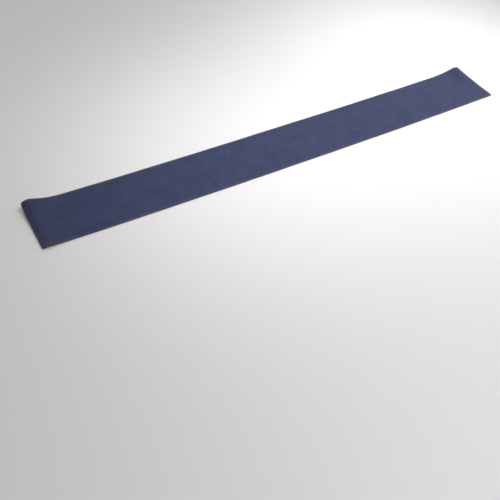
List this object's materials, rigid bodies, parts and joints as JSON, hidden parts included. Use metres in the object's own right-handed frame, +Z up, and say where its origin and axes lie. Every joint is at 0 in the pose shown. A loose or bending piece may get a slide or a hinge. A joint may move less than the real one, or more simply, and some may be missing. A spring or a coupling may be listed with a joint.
{
  "type": "piano keyboard cover",
  "caption": "Plain navy felt strip that covers the keys of a full-size piano keyboard, laid flat with its back corners standing up slightly.",
  "frame": {"origin": "under the middle of the strip's bounding box, on the surface it lies on", "axes": "+X along the strip's length to its right end, +Y from its front edge to its back edge, +Z up from the surface"},
  "size_m": [1.2622, 0.1444, 0.0153],
  "materials": {
    "felt": "matte needled felt"
  },
  "bodies": {
    "root": {"felt_strip": "felt"}
  },
  "joints": []
}
